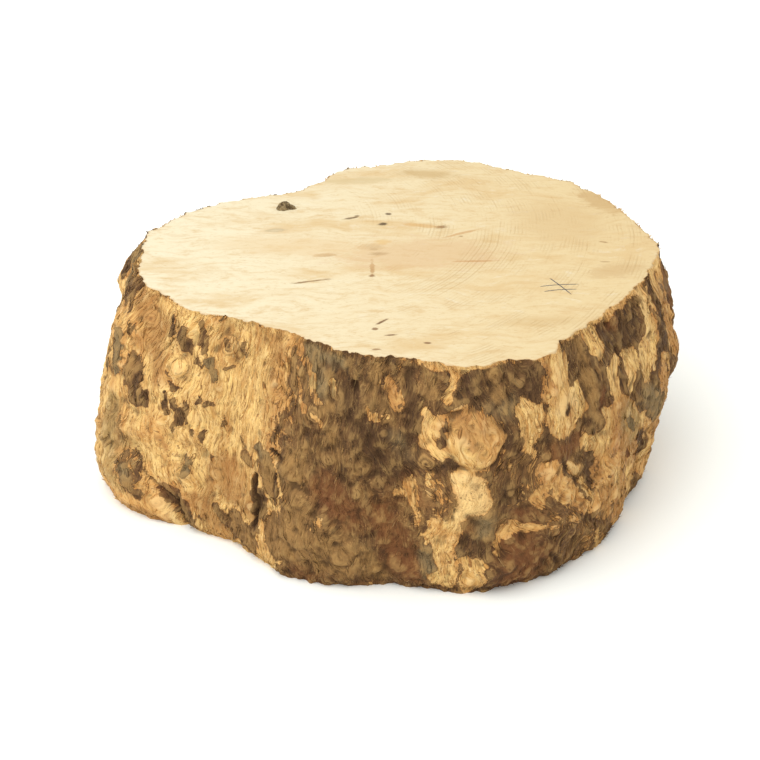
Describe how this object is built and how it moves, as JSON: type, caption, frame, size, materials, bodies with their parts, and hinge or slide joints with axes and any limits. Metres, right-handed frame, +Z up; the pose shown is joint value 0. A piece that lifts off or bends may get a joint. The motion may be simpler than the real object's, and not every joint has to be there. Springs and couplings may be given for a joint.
{
  "type": "briar burl slice",
  "caption": "Thick slice of a root burl, sawn flat above and below, with a knobbly natural wall that keeps patches of bark.",
  "frame": {"origin": "under the middle of the slice's box, on the surface that the lower sawn face stands on", "axes": "+Z up, square to both sawn faces; +X along the slice's longest side; -Y towards the side that the picture shows"},
  "size_m": [0.3944, 0.3456, 0.162],
  "materials": {
    "burl_wood": "raw and dry: the outside of the burl, fibrous tan wood with dark brown patches of bark",
    "sawn_face": "raw, pale cream, sawn flat with fine curved saw marks",
    "bark": "rough dark brown bark and torn bark fibre",
    "pencil": "thin dull grey pencil strokes"
  },
  "bodies": {
    "root": {"burl_slice": "burl_wood"}
  },
  "joints": []
}
